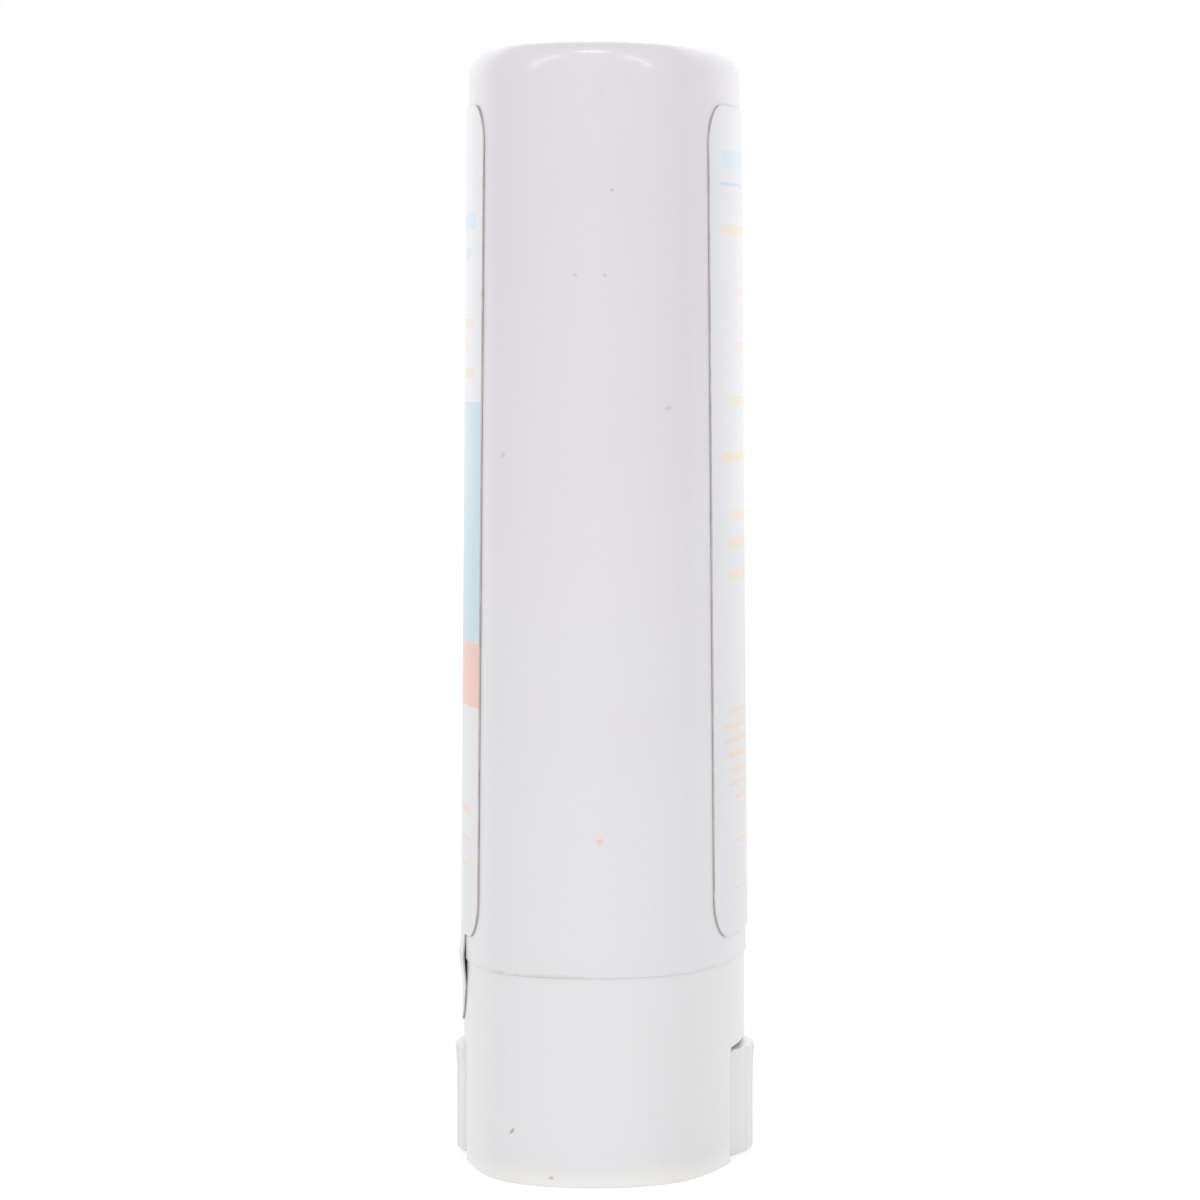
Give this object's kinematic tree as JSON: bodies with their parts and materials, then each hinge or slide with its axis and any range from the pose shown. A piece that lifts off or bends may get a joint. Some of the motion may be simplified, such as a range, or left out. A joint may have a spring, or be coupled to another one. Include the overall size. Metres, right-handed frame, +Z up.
{
  "type": "sunscreen stick",
  "caption": "Oval twist-up sunscreen stick with a tall overcap, a turn wheel standing out of both faces of its base, a screw, an elevator and two labels.",
  "frame": {"origin": "centre of the base's bottom rim, on the surface that the stick stands on", "axes": "+Z up along the stick and its screw, X across the broad faces, -Y out of the front label"},
  "size_m": [0.0362, 0.0198, 0.0726],
  "materials": {
    "cap_plastic": "glossy moulded polypropylene, white",
    "barrel_plastic": "glossy moulded polypropylene, white",
    "wheel_plastic": "satin moulded polypropylene, white",
    "elevator_plastic": "natural moulded polypropylene",
    "sunscreen_balm": "waxy solid balm",
    "front_film": "printed self-adhesive film",
    "back_film": "printed self-adhesive film"
  },
  "bodies": {
    "barrel": {"barrel": "barrel_plastic"},
    "cap": {"cap": "cap_plastic", "front_label": "front_film", "back_label": "back_film"},
    "wheel": {"turn_wheel": "wheel_plastic"},
    "lift": {"elevator": "elevator_plastic", "sunscreen": "sunscreen_balm"}
  },
  "joints": [
    {"name": "cap_slide", "type": "slide", "parent": "barrel", "child": "cap", "axis": [0, 0, 1], "range_m": [0, 0.06]},
    {"name": "wheel_spin", "type": "hinge", "parent": "barrel", "child": "wheel", "pos_m": [0, 0, 0], "axis": [0, 0, 1], "range_deg": [0, 3168]},
    {"name": "elevator_slide", "type": "slide", "parent": "barrel", "child": "lift", "axis": [0, 0, 1], "range_m": [0, 0.044], "deforming": ["sunscreen"]}
  ],
  "couplings": [
    {"joint": "wheel_spin", "follows": "elevator_slide", "rad_per_m": 1256.6}
  ]
}
